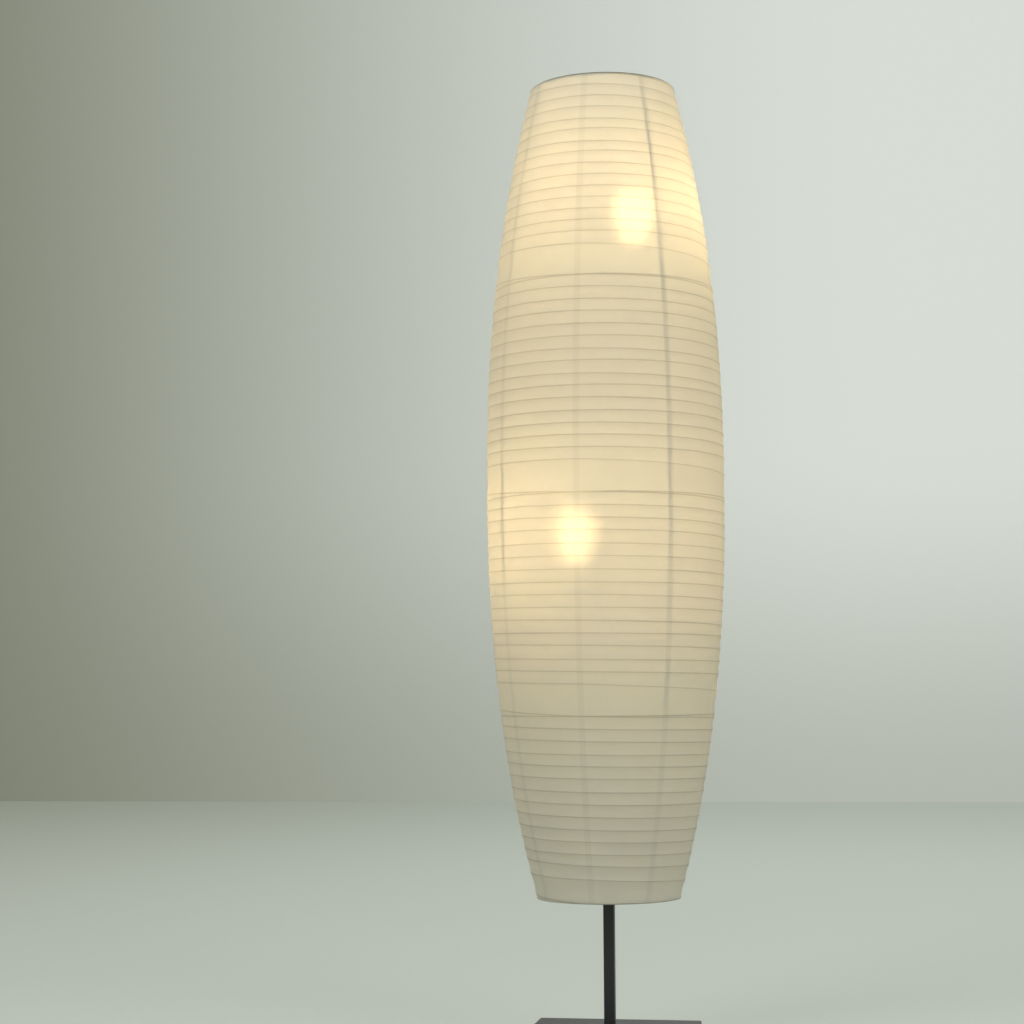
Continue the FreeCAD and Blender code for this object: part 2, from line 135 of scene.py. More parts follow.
ahead = Vector((-math.sin(VIEW_SIDE), math.cos(VIEW_SIDE), 0))
rightwards = Vector((math.cos(VIEW_SIDE), math.sin(VIEW_SIDE), 0))
camera = bpy.data.objects.new("camera", bpy.data.cameras.new("camera"))
bpy.context.scene.collection.objects.link(camera)
camera.location = -STEM_DEPTH * ahead - STEM_RIGHT_OF_MIDDLE * rightwards + Vector((0, 0, EYE_HEIGHT))
camera.rotation_mode = "QUATERNION"
level_view = ahead.to_track_quat("-Z", "Y")
camera.rotation_quaternion = (level_view.to_matrix() @ Matrix.Rotation(-LEAN, 3, "Z")).to_quaternion()
camera.data.sensor_width = SENSOR
camera.data.lens = SENSOR * FOCAL_PIXELS / PICTURE
camera.data.shift_y = (HORIZON_ROW - PICTURE / 2) / PICTURE
bpy.context.scene.camera = camera
print("lens in mm", round(camera.data.lens, 1))

# %% [markdown]
# ## Room and light
# A wide floor, a wall far behind and soft light from large lamps, so that no shadow has a hard edge.
# The backdrop's colour is painted rather than lit: only rays from the camera see it at full strength. Floor
# and wall also carry painted shade, darker to the left and low down.

# %% Floor, wall and world
WALL_DISTANCE = 6.2
STAGE_WIDTH = 24.0
# Where the painted shade of floor and wall runs: from its darkest at the left and low down to its lightest
PAINTED_SHADE_DARKEST_X = -4.5
PAINTED_SHADE_LIGHTEST_X = 0.5
PAINTED_SHADE_TOP = 1.6
PAINTED_SHADE_LOW_LEVEL = 0.55
PAINTED_SHARE = 0.5
PAINTED_STRENGTH = 1.16
ROOM_LIGHT = 0.5


def stage_material(name, shade, light, lit):
    """A plain surface with painted shade, darker to the left and low down; camera rays see half of it as
    painted colour.
    """
    material = bpy.data.materials.new(name)
    material.use_nodes = True
    tree = material.node_tree
    tree.nodes.clear()
    ray = add(tree, "ShaderNodeLightPath").outputs
    sight = add(tree, "ShaderNodeMath", {0: ray["Is Camera Ray"], 1: ray["Is Glossy Ray"]},
                operation="MAXIMUM")
    sight = add(tree, "ShaderNodeMath", {0: sight, 1: ray["Is Transmission Ray"]}, operation="MAXIMUM")
    share = add(tree, "ShaderNodeMath", {0: sight, 1: PAINTED_SHARE}, operation="MULTIPLY")
    surface = add(tree, "ShaderNodeBsdfDiffuse", {"Color": srgb(lit)})
    place = add(tree, "ShaderNodeTexCoord").outputs["Object"]
    place = add(tree, "ShaderNodeSeparateXYZ", {0: place}).outputs
    across = add(tree, "ShaderNodeMapRange", {"Value": place[0], "From Min": PAINTED_SHADE_DARKEST_X,
                                              "From Max": PAINTED_SHADE_LIGHTEST_X},
                 interpolation_type="SMOOTHSTEP")
    upward = add(tree, "ShaderNodeMapRange", {"Value": place[2], "From Min": 0.0,
                                              "From Max": PAINTED_SHADE_TOP,
                                              "To Min": PAINTED_SHADE_LOW_LEVEL, "To Max": 1.0},
                 interpolation_type="SMOOTHSTEP")
    # Painted shade: the painted colour darkens to the left and towards the floor
    painted_light_level = add(tree, "ShaderNodeMath", {0: across, 1: upward}, operation="MULTIPLY")
    tone = add(tree, "ShaderNodeMix", {0: painted_light_level, 6: srgb(shade), 7: srgb(light)}, data_type="RGBA")
    glow = add(tree, "ShaderNodeEmission", {"Color": tone.outputs[2], "Strength": PAINTED_STRENGTH})
    mix = add(tree, "ShaderNodeMixShader", {0: share, 1: surface, 2: glow})
    add(tree, "ShaderNodeOutputMaterial", {"Surface": mix})
    return material


def flat_stage(name, corners, material):
    """One large face of the room, kept apart from the lamp's own pieces."""
    mesh = bpy.data.meshes.new(name)
    mesh.from_pydata(corners, [], [(0, 1, 2, 3)])
    mesh.materials.append(material)
    as_object(name, mesh)


half_stage = STAGE_WIDTH / 2
flat_stage("floor", [(-half_stage, -half_stage, 0), (half_stage, -half_stage, 0),
                     (half_stage, WALL_DISTANCE, 0), (-half_stage, WALL_DISTANCE, 0)],
           stage_material("matt pale floor with painted shade", "#8B8F7E", "#DDE6DD", "#C8CDC6"))
flat_stage("wall", [(-half_stage, WALL_DISTANCE, 0), (half_stage, WALL_DISTANCE, 0),
                    (half_stage, WALL_DISTANCE, half_stage), (-half_stage, WALL_DISTANCE, half_stage)],
           stage_material("matt pale wall with painted shade", "#6C6F58", "#FAFFF8", "#BCC2B8"))

world = bpy.data.worlds.new("soft room")
world.use_nodes = True
bpy.context.scene.world = world
tree = world.node_tree
tree.nodes.clear()
ray = add(tree, "ShaderNodeLightPath").outputs
ambient = add(tree, "ShaderNodeBackground", {"Color": srgb("#F2F4EE"), "Strength": ROOM_LIGHT})
backdrop = add(tree, "ShaderNodeBackground", {"Color": srgb("#BCC2B8"), "Strength": 1.0})
either = add(tree, "ShaderNodeMath", {0: ray["Is Camera Ray"], 1: ray["Is Transmission Ray"]},
             operation="MAXIMUM")
mix = add(tree, "ShaderNodeMixShader", {0: either, 1: ambient, 2: backdrop})
add(tree, "ShaderNodeOutputWorld", {"Surface": mix})

# %% Studio lamps
LAMP_SIZE = 2.4
LAMP_AIM = Vector((0, 0, 0.8))


def soft_lamp(name, place, watts):
    """A square area lamp turned towards the middle of the shade."""
    light = bpy.data.lights.new(name, "AREA")
    light.shape = "SQUARE"
    light.size = LAMP_SIZE
    light.energy = watts
    lamp = bpy.data.objects.new(name, light)
    bpy.context.scene.collection.objects.link(lamp)
    lamp.location = place
    lamp.rotation_mode = "QUATERNION"
    lamp.rotation_quaternion = (LAMP_AIM - Vector(place)).to_track_quat("-Z", "Y")


soft_lamp("key", (-2.6, -3.0, 3.2), 80)
soft_lamp("fill", (3.2, -2.2, 2.2), 60)
soft_lamp("back", (0.6, 3.4, 3.4), 30)
print("stage", WALL_DISTANCE, "m deep behind the lamp, three soft lamps")
bpy.context.scene.view_settings.view_transform = "Standard"

# %% [markdown]
# ## Materials of the stand
# Each starts from what the real surface is. Powder coat is paint melted from dust, so it has a fine
# orange peel; zinc, brass and aluminium are metals with faint rubbing marks; nylon and rubber are moulded.


# %% Material helpers
def surface(name, colour, roughness, metallic=0.0, **sockets):
    """A named material with one Principled shader, its tree and its object coordinates."""
    material = bpy.data.materials.new(name)
    material.use_nodes = True
    tree = material.node_tree
    tree.nodes.clear()
    sockets = {label.replace("_", " "): value for label, value in sockets.items()}
    shader = add(tree, "ShaderNodeBsdfPrincipled",
                 {"Base Color": srgb(colour), "Roughness": roughness, "Metallic": metallic, **sockets})
    add(tree, "ShaderNodeOutputMaterial", {"Surface": shader})
    place = add(tree, "ShaderNodeTexCoord").outputs["Object"]
    return material, tree, shader, place


def grain(tree, place, size_mm, stretch=(1, 1, 1), detail=3.0):
    """Noise whose spots are about size_mm across, stretched along an axis where asked."""
    mapped = add(tree, "ShaderNodeMapping", {"Vector": place,
                                             "Scale": [1 / (size_mm * MM * s) for s in stretch]})
    return add(tree, "ShaderNodeTexNoise", {"Vector": mapped, "Scale": 1.0, "Detail": detail}).outputs[0]


def vary(tree, shader, noise, colours, roughness, height_mm):
    """Lets a noise drive colour, roughness and a small bump of a shader."""
    tint = add(tree, "ShaderNodeMix", {0: noise, 6: srgb(colours[0]), 7: srgb(colours[1])},
               data_type="RGBA")
    tree.links.new(tint.outputs[2], shader.inputs["Base Color"])
    rough = add(tree, "ShaderNodeMapRange", {"Value": noise, "To Min": roughness[0],
                                             "To Max": roughness[1]})
    tree.links.new(rough.outputs[0], shader.inputs["Roughness"])
    bump = add(tree, "ShaderNodeBump", {"Height": noise, "Strength": 0.5, "Distance": height_mm * MM})
    tree.links.new(bump.outputs[0], shader.inputs["Normal"])


# %% Finishes
def powder_coat():
    """Black polyester powder coat on steel: dull satin, with an orange peel about 1.5 mm across."""
    material, tree, shader, place = surface("black powder coat", "#151617", 0.42, IOR=1.5)
    vary(tree, shader, grain(tree, place, 1.5), ("#101112", "#1D1E20"), (0.36, 0.5), 0.06)
    return material


def metal(name, colours, roughness, size_mm=6.0, metallic=1.0):
    """Metal, less metallic under lacquer: tone and gloss drift where it was rubbed and plated."""
    material, tree, shader, place = surface(name, colours[0], roughness, metallic)
    vary(tree, shader, grain(tree, place, size_mm, (1, 1, 4)), colours,
         (roughness * 0.8, roughness * 1.3), 0.02)
    return material


def moulded(name, colours, roughness, size_mm=0.8, height_mm=0.03, **sockets):
    """Moulded plastic, rubber or fired clay: a fine even texture from the mould."""
    material, tree, shader, place = surface(name, colours[0], roughness, **sockets)
    vary(tree, shader, grain(tree, place, size_mm), colours, (roughness * 0.85, roughness * 1.15),
         height_mm)
    return material


def lit_globe(warm_light="#FFE2B8", strength=50.0):
    """Opal polycarbonate over warm light: it glows evenly all over."""
    return surface("opal globe, lit", "#F6EFE0", 0.35, IOR=1.58, Emission_Color=srgb(warm_light),
                   Emission_Strength=strength)[0]


# Each finish by the slot that the model names
finishes = {
    # Base plate, stem and its head, arms, coupler screws and finial
    "black_powder": powder_coat(),
    # Stem bolt, foot plug and inner sleeves
    "zinc_steel": metal("bright zinc plate", ("#A9ADB0", "#C4C6C6"), 0.32),
    # Hollow bolts, contacts and thread liners
    "brass": metal("rolled brass", ("#B08D4A", "#C9A765"), 0.28),
    # Screw caps of the bulbs
    "cap_metal": metal("pressed aluminium", ("#B9BABB", "#CFCFCE"), 0.3),
    # Pads under the base
    "pad_rubber": moulded("moulded rubber", ("#141414", "#1E1E1D"), 0.85, 1.2, 0.08),
    # Inlet bush
    "black_nylon": moulded("black nylon", ("#161616", "#202021"), 0.5),
    # Lead splice, and the washer that the shade turns on
    "white_nylon": moulded("natural nylon", ("#E2DFD4", "#EEEBE0"), 0.45),
    # Inner leads
    "lead_sheath": moulded("soft PVC sheath", ("#1A1A1A", "#252525"), 0.4, 3.0),
    # Lampholder cups
    "holder_black": moulded("black phenolic", ("#131313", "#1B1A19"), 0.3, 2.0, 0.02),
    # Insulators in the lampholders
    "porcelain": moulded("glazed porcelain", ("#E9E6DC", "#F2F0E8"), 0.15, 5.0, 0.02),
    # Rings, struts and spider
    "shade_wire": metal("lacquered spring wire", ("#4C4838", "#5E5945"), 0.45, 4.0, metallic=0.3),
    # Bulbs
    "opal_globe": lit_globe(),
    # Wound wires of the ribs
    "rib_wire": moulded("rib wire wrapped in white tissue", ("#DAD5C4", "#E8E3D3"), 0.7, 2.0),
}
print("finishes", len(finishes))

# %% [markdown]
# ## Paper
# The skin is thin mulberry paper: matt, cloudy, with long loose fibres, and it lets about half the light
# through. A Translucent shader passes the lamps' light; a little rough refraction keeps their soft image.
# Two measures ride on the mesh: how far each point is from a rib wire, and from a glued paper seam. Along
# each wire the colour is darkened, a painted shadow of the wire.

# %% The paper's shader
PAPER_FRONT = ("#DADDD9", "#E3E6E2")
PAPER_BACK = ("#F1ECDC", "#FBF7EA")
# Colour and half width of the painted shadow along the rib wires
WIRE_SHADOW_COLOUR = "#A39C88"
WIRE_SHADOW_HALF_MM = (0.4, 1.0)
SEAM_HALF_MM = (4.2, 5.0)
CLOUD_MM = 26.0
FIBRE_MM = 1.6
# Of the light that meets the paper, this share goes in; of that, the second share keeps the lamps' image
THROUGH_SHARE = 0.62
HALO_SHARE = 0.34
# How strongly the painted shadow of a rib wire shows, then a seam's colour and strength: in reflected and in
# passing light
FRONT_WIRE_SHADOW_AND_SEAM = (0.45, "#EDEEE6", 0.7)
BACK_WIRE_SHADOW_AND_SEAM = (0.35, "#DDDACD", 0.8)


def washi():
    """Paper whose two measures paint a shadow along the rib wires and pale the seams, seen from outside and
    through it.
    """
    material = bpy.data.materials.new("mulberry paper, lit from inside")
    material.use_nodes = True
    tree = material.node_tree
    tree.nodes.clear()
    place = add(tree, "ShaderNodeTexCoord").outputs["Object"]
    clouds = grain(tree, place, CLOUD_MM)
    fibres = grain(tree, place, FIBRE_MM, (5, 5, 1))
    body = add(tree, "ShaderNodeMath", {0: clouds, 1: fibres}, operation="ADD")
    body = add(tree, "ShaderNodeMath", {0: body, 1: 0.5}, operation="MULTIPLY")
    wire = add(tree, "ShaderNodeAttribute", attribute_name="rib_mm").outputs["Fac"]
    # Painted shadow of a rib wire: strongest right at the wire, gone a millimetre away
    line = add(tree, "ShaderNodeMapRange", {"Value": wire, "From Min": WIRE_SHADOW_HALF_MM[0],
                                            "From Max": WIRE_SHADOW_HALF_MM[1],
                                            "To Min": 1.0, "To Max": 0.0})
    glued = add(tree, "ShaderNodeAttribute", attribute_name="seam_mm").outputs["Fac"]
    seam = add(tree, "ShaderNodeMapRange", {"Value": glued, "From Min": SEAM_HALF_MM[0],
                                            "From Max": SEAM_HALF_MM[1], "To Min": 1.0, "To Max": 0.0})

    def paper_colour(pair, wire_shadow_strength, seam_colour, seam_strength):
        plain = add(tree, "ShaderNodeMix", {0: body, 6: srgb(pair[0]), 7: srgb(pair[1])},
                    data_type="RGBA")
        over = add(tree, "ShaderNodeMath", {0: seam, 1: seam_strength}, operation="MULTIPLY")
        double = add(tree, "ShaderNodeMix", {0: over, 6: plain.outputs[2], 7: srgb(seam_colour)},
                     data_type="RGBA")
        # The painted wire shadow mixed over the paper's colour
        wire_shadow_share = add(tree, "ShaderNodeMath", {0: line, 1: wire_shadow_strength}, operation="MULTIPLY")
        wire_shadowed = add(tree, "ShaderNodeMix", {0: wire_shadow_share, 6: double.outputs[2], 7: srgb(WIRE_SHADOW_COLOUR)},
                    data_type="RGBA")
        return wire_shadowed.outputs[2]

    bump = add(tree, "ShaderNodeBump", {"Height": body, "Strength": 0.35, "Distance": 0.25 * MM})
    front = add(tree, "ShaderNodeBsdfPrincipled",
                {"Base Color": paper_colour(PAPER_FRONT, *FRONT_WIRE_SHADOW_AND_SEAM), "Roughness": 0.9,
                 "Specular IOR Level": 0.2, "Normal": bump})
    back = add(tree, "ShaderNodeBsdfTranslucent",
               {"Color": paper_colour(PAPER_BACK, *BACK_WIRE_SHADOW_AND_SEAM), "Normal": bump})
    halo = add(tree, "ShaderNodeBsdfRefraction",
               {"Color": srgb("#FFF6E0"), "Roughness": 0.42, "IOR": 1.3})
    through = add(tree, "ShaderNodeMixShader", {0: HALO_SHARE, 1: back, 2: halo})
    skin = add(tree, "ShaderNodeMixShader", {0: THROUGH_SHARE, 1: front, 2: through})
    add(tree, "ShaderNodeOutputMaterial", {"Surface": skin})
    return material


finishes["shade_paper"] = washi()

# %% [markdown]
# ## The barrel as a rule
# Its radius falls away from the middle height a little more steeply than a circle's arc would.
# In each of the four tiers one wire makes a level turn at the top, then winds down in an even spiral and
# stops above a plain band of paper. "Turn" counts along that wire, so one formula gives its height.

# %% Sizes of the barrel
paper_low, paper_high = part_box("shade_paper")
SHADE_BOTTOM, SHADE_TOP = paper_low.z, paper_high.z
WIDEST = 0.176
END_RADIUS = 0.1065
FULLNESS = 2.25
FIRST_SEAM = math.radians(264.0)
GORES = 8
STRUTS = 4
TIER_HEIGHTS = [0.271, 0.316, 0.308, 0.298]
PLAIN_BANDS = [0.037, 0.046, 0.046, 0.046]
TURNS = [13, 15, 15, 15]
SAG = 0.0011
MOST_SAG = 1.4
UNEVEN = 0.0015
WANDER_RATE = 0.9
TIER_SEED = 7.0
NOISE_REACH = 4.0
AROUND = 96
ROWS_PER_TURN = 6
ROW_NUDGE = 0.001
shape_values = {"Middle": (SHADE_BOTTOM + SHADE_TOP) / 2, "Half": (SHADE_TOP - SHADE_BOTTOM) / 2,
                "Widest": WIDEST, "End": END_RADIUS, "Fullness": FULLNESS}
barrel_shape = {label: ("Float", start) for label, start in shape_values.items()}
print("paper height in mm", round((SHADE_TOP - SHADE_BOTTOM) / MM), "turns of wire", sum(TURNS))


# %% Two shared formulas
def barrel_tree():
    """Radius of the barrel at a height."""
    tree, given = new_tree("barrel radius", {"Height": ("Float", 0.0), **barrel_shape}, "NodeSocketFloat")
    away = add(tree, "ShaderNodeMath", {0: given["Height"], 1: given["Middle"]}, operation="SUBTRACT")
    away = add(tree, "ShaderNodeMath", {0: away}, operation="ABSOLUTE")
    share = add(tree, "ShaderNodeMath", {0: away, 1: given["Half"]}, operation="DIVIDE")
    curve = add(tree, "ShaderNodeMath", {0: share, 1: given["Fullness"]}, operation="POWER")
    drop = add(tree, "ShaderNodeMath", {0: given["Widest"], 1: given["End"]}, operation="SUBTRACT")
    lost = add(tree, "ShaderNodeMath", {0: drop, 1: curve}, operation="MULTIPLY")
    radius = add(tree, "ShaderNodeMath", {0: given["Widest"], 1: lost}, operation="SUBTRACT")
    add(tree, "NodeGroupOutput", {0: radius})
    return tree


wire_inputs = {"Turns": ("Float", 15.0), "Top": ("Float", 1.0), "Pitch": ("Float", 0.018),
               "Band": ("Float", 0.046), "Uneven": ("Float", UNEVEN)}


def level_tree():
    """Height of the rib wire after some turns: level before 0, falling a pitch a turn, then to the hoop."""
    tree, given = new_tree("wire height", {"Turn": ("Float", 0.0), **wire_inputs}, "NodeSocketFloat")
    begun = add(tree, "ShaderNodeMath", {0: given["Turn"], 1: 0.0}, operation="MAXIMUM")
    wound = add(tree, "ShaderNodeMath", {0: begun, 1: given["Turns"]}, operation="MINIMUM")
    past = add(tree, "ShaderNodeMath", {0: given["Turn"], 1: given["Turns"]}, operation="SUBTRACT",
               use_clamp=True)
    spiral = add(tree, "ShaderNodeMath", {0: wound, 1: given["Pitch"]}, operation="MULTIPLY")
    fall = add(tree, "ShaderNodeMath", {0: past, 1: given["Band"], 2: spiral}, operation="MULTIPLY_ADD")
    level = add(tree, "ShaderNodeMath", {0: given["Top"], 1: fall}, operation="SUBTRACT")
    seed = add(tree, "ShaderNodeMath", {0: given["Top"], 1: TIER_SEED, 2: given["Turn"]},
               operation="MULTIPLY_ADD")
    wander = add(tree, "ShaderNodeTexNoise", {"W": seed, "Scale": WANDER_RATE, "Detail": 1.0},
                 noise_dimensions="1D")
    wander = add(tree, "ShaderNodeMath", {0: wander.outputs[0], 1: 0.5}, operation="SUBTRACT")
    started = add(tree, "ShaderNodeMath", {0: given["Turn"], 1: 0.0}, operation="ADD", use_clamp=True)
    last = add(tree, "ShaderNodeMath", {0: given["Turns"], 1: 1.0}, operation="ADD")
    ending = add(tree, "ShaderNodeMath", {0: last, 1: given["Turn"]}, operation="SUBTRACT",
                 use_clamp=True)
    free = add(tree, "ShaderNodeMath", {0: started, 1: ending}, operation="MULTIPLY")
    swing = add(tree, "ShaderNodeMath", {0: free, 1: given["Uneven"]}, operation="MULTIPLY")
    swing = add(tree, "ShaderNodeMath", {0: swing, 1: NOISE_REACH}, operation="MULTIPLY")
    height = add(tree, "ShaderNodeMath", {0: wander, 1: swing, 2: level}, operation="MULTIPLY_ADD")
    add(tree, "NodeGroupOutput", {0: height})
    return tree


barrel_group, level_group = barrel_tree(), level_tree()


def barrel_radius(tree, height):
    """A copy of the first formula inside another tree."""
    return add(tree, "GeometryNodeGroup", {"Height": height}, node_tree=barrel_group)


def wire_height(tree, given, turn):
    """A copy of the second formula, fed from the other tree's own inputs."""
    wires = {label: given[label] for label in wire_inputs}
    return add(tree, "GeometryNodeGroup", {"Turn": turn, **wires}, node_tree=level_group)


def around_axis(tree, radius, angle, height):
    """The point at a radius and an angle from the lamp's axis."""
    cosine = add(tree, "ShaderNodeMath", {0: angle}, operation="COSINE")
    sine = add(tree, "ShaderNodeMath", {0: angle}, operation="SINE")
    x = add(tree, "ShaderNodeMath", {0: radius, 1: cosine}, operation="MULTIPLY")
    y = add(tree, "ShaderNodeMath", {0: radius, 1: sine}, operation="MULTIPLY")
    return add(tree, "ShaderNodeCombineXYZ", {0: x, 1: y, 2: height})


# %% [markdown]
# ## Paper between the wires
# A flat grid is rolled up: its columns go round the lamp, and its rows run from wire to wire. After a full
# turn each row meets the one a rib lower, which makes a single spiral skin. Between wires the paper is drawn
# in by about a millimetre, more in the plain bands.


# %% One tier of paper
def paper_tree():
    """The spiral skin of one tier, still without thickness."""
    tree, given = new_tree("paper tier", {**wire_inputs, "Start": ("Float", FIRST_SEAM),
                                          "Sag": ("Float", SAG),
                                          "Around": ("Int", AROUND), "Rows": ("Int", ROWS_PER_TURN),
                                          "Gores": ("Float", float(GORES)), "Material": ("Material",
                                                                                         None)})
    spaces = add(tree, "ShaderNodeMath", {0: given["Turns"], 1: 2.0}, operation="ADD")
    rows = add(tree, "ShaderNodeMath", {0: spaces, 1: given["Rows"], 2: 1.0}, operation="MULTIPLY_ADD")
    columns = add(tree, "ShaderNodeMath", {0: given["Around"], 1: 1.0}, operation="ADD")
    grid = add(tree, "GeometryNodeMeshGrid", {"Size X": 1.0, "Size Y": spaces, "Vertices X": columns,
                                              "Vertices Y": rows})
    flat = add(tree, "ShaderNodeSeparateXYZ", {0: add(tree, "GeometryNodeInputPosition")}).outputs
    share = add(tree, "ShaderNodeMath", {0: flat[0], 1: 0.5}, operation="ADD")
    middle = add(tree, "ShaderNodeMath", {0: spaces, 1: 0.5}, operation="MULTIPLY")
    step = add(tree, "ShaderNodeMath", {0: middle, 1: flat[1]}, operation="SUBTRACT")
    nudged = add(tree, "ShaderNodeMath", {0: step, 1: ROW_NUDGE}, operation="ADD")
    line = add(tree, "ShaderNodeMath", {0: nudged}, operation="FLOOR")
    between = add(tree, "ShaderNodeMath", {0: step, 1: line}, operation="SUBTRACT", use_clamp=True)
    turn = add(tree, "ShaderNodeMath", {0: line, 1: share}, operation="ADD")
    upper = wire_height(tree, given, add(tree, "ShaderNodeMath", {0: turn, 1: 1.0}, operation="SUBTRACT"))
    lower = wire_height(tree, given, turn)
    gap = add(tree, "ShaderNodeMath", {0: upper, 1: lower}, operation="SUBTRACT")
    half_turn = add(tree, "ShaderNodeMath", {0: between, 1: math.pi}, operation="MULTIPLY")
    wave = add(tree, "ShaderNodeMath", {0: half_turn}, operation="COSINE")
    eased = add(tree, "ShaderNodeMath", {0: wave, 1: -0.5, 2: 0.5}, operation="MULTIPLY_ADD")
    below = add(tree, "ShaderNodeMath", {0: gap, 1: eased}, operation="MULTIPLY")
    height = add(tree, "ShaderNodeMath", {0: upper, 1: below}, operation="SUBTRACT")
    arch = add(tree, "ShaderNodeMath", {0: eased, 1: math.pi}, operation="MULTIPLY")
    arch = add(tree, "ShaderNodeMath", {0: arch}, operation="SINE")
    fullness = add(tree, "ShaderNodeMath", {0: gap, 1: given["Pitch"]}, operation="DIVIDE")
    fullness = add(tree, "ShaderNodeMath", {0: fullness, 1: MOST_SAG}, operation="MINIMUM")
    depth = add(tree, "ShaderNodeMath", {0: fullness, 1: given["Sag"]}, operation="MULTIPLY")
    drawn = add(tree, "ShaderNodeMath", {0: arch, 1: depth}, operation="MULTIPLY")
    radius = add(tree, "ShaderNodeMath", {0: barrel_radius(tree, height), 1: drawn}, operation="SUBTRACT")
    angle = add(tree, "ShaderNodeMath", {0: share, 1: 2 * math.pi, 2: given["Start"]},
                operation="MULTIPLY_ADD")
    rest = add(tree, "ShaderNodeMath", {0: 1.0, 1: eased}, operation="SUBTRACT")
    nearest = add(tree, "ShaderNodeMath", {0: eased, 1: rest}, operation="MINIMUM")
    from_wire = add(tree, "ShaderNodeMath", {0: nearest, 1: gap}, operation="MULTIPLY")
    from_wire = add(tree, "ShaderNodeMath", {0: from_wire, 1: 1 / MM}, operation="MULTIPLY")
    panel = add(tree, "ShaderNodeMath", {0: share, 1: given["Gores"]}, operation="MULTIPLY")
    aside = add(tree, "ShaderNodeMath", {0: panel, 1: 0.5}, operation="PINGPONG")
    metres = add(tree, "ShaderNodeMath", {0: aside, 1: radius}, operation="MULTIPLY")
    gore_turn = add(tree, "ShaderNodeMath", {0: 2 * math.pi / MM, 1: given["Gores"]}, operation="DIVIDE")
    from_seam = add(tree, "ShaderNodeMath", {0: metres, 1: gore_turn}, operation="MULTIPLY")
    kept = add(tree, "GeometryNodeStoreNamedAttribute",
               {"Geometry": grid.outputs["Mesh"], "Name": "rib_mm",
                                                         "Value": from_wire},
               data_type="FLOAT", domain="POINT")
    kept = add(tree, "GeometryNodeStoreNamedAttribute", {"Geometry": kept, "Name": "seam_mm",
                                                         "Value": from_seam},
               data_type="FLOAT", domain="POINT")
    place = around_axis(tree, radius, angle, height)
    rolled = add(tree, "GeometryNodeSetPosition", {"Geometry": kept, "Position": place})
    closed = add(tree, "GeometryNodeMergeByDistance", {"Geometry": rolled, "Distance": 0.003 * MM})
    smooth = add(tree, "GeometryNodeSetShadeSmooth", {"Geometry": closed, "Shade Smooth": True})
    real = add(tree, "GeometryNodeRealizeInstances", {"Geometry": smooth})
    painted = add(tree, "GeometryNodeSetMaterial", {"Geometry": real, "Material": given["Material"]})
    add(tree, "NodeGroupOutput", {0: painted})
    return tree


def tier_values(index):
    """What one tier's paper and wire share."""
    top = SHADE_BOTTOM + sum(TIER_HEIGHTS[:index + 1])
    pitch = (TIER_HEIGHTS[index] - PLAIN_BANDS[index]) / TURNS[index]
    return {"Turns": float(TURNS[index]), "Top": top, "Pitch": pitch, "Band": PLAIN_BANDS[index]}


def joined(name, parts):
    """Several mesh objects as one, with their meeting points merged."""
    shell = bmesh.new()
    for part in parts:
        shell.from_mesh(part.data)
    bmesh.ops.remove_doubles(shell, verts=shell.verts, dist=0.004 * MM)
    mesh = bpy.data.meshes.new(name)
    shell.to_mesh(mesh)
    shell.free()
    for material in parts[0].data.materials:
        mesh.materials.append(material)
    for part in parts:
        bpy.data.objects.remove(part)
    return as_object(name, mesh)


def thickened(piece, depth, offset):
    """The piece with a real wall, as a plain mesh."""
    wall = piece.modifiers.new("wall", "SOLIDIFY")
    wall.thickness = depth
    wall.offset = offset
    graph = bpy.context.evaluated_depsgraph_get()
    mesh = bpy.data.meshes.new_from_object(piece.evaluated_get(graph))
    piece.modifiers.clear()
    piece.data = mesh
    return piece


PAPER_WALL = 0.4 * MM
paper_group = paper_tree()
tiers = [grow("tier_%d" % i, paper_group, finishes["shade_paper"],
              **tier_values(i)) for i in range(len(TURNS))]
paper = thickened(joined("paper_skin", tiers), PAPER_WALL, -1.0)
print("paper skin: tiers", len(tiers), "faces", len(paper.data.polygons))

# %% [markdown]
# ## Rib wires, rings and struts
# Each tier's wire is a tube swept along the same rule, just inside the paper. The rings at the top and the
# hem are tubes on a circle, and the four struts follow the barrel from ring to ring.

# %% Wires
WIRE_RADIUS = 0.3 * MM
RING_RADIUS = 1.5 * MM
STRUT_RADIUS = 1.2 * MM
HEM_RADIUS = 1.1 * MM
STRUT_CLEAR = 1.5 * SAG
STRUT_POINTS = 64
WIRE_SIDES, RING_SIDES, STRUT_SIDES = 6, 12, 8


def swept(tree, curve, thickness, sides, material, cyclic=False):
    """A tube along a curve, closed at its ends, made real and painted."""
    section = add(tree, "GeometryNodeCurvePrimitiveCircle", {"Resolution": sides, "Radius": thickness})
    tube = add(tree, "GeometryNodeCurveToMesh", {"Curve": curve, "Profile Curve": section,
                                                 "Fill Caps": not cyclic})
    smooth = add(tree, "GeometryNodeSetShadeSmooth", {"Geometry": tube, "Shade Smooth": True})
    real = add(tree, "GeometryNodeRealizeInstances", {"Geometry": smooth})
    painted = add(tree, "GeometryNodeSetMaterial", {"Geometry": real, "Material": material})
    add(tree, "NodeGroupOutput", {0: painted})


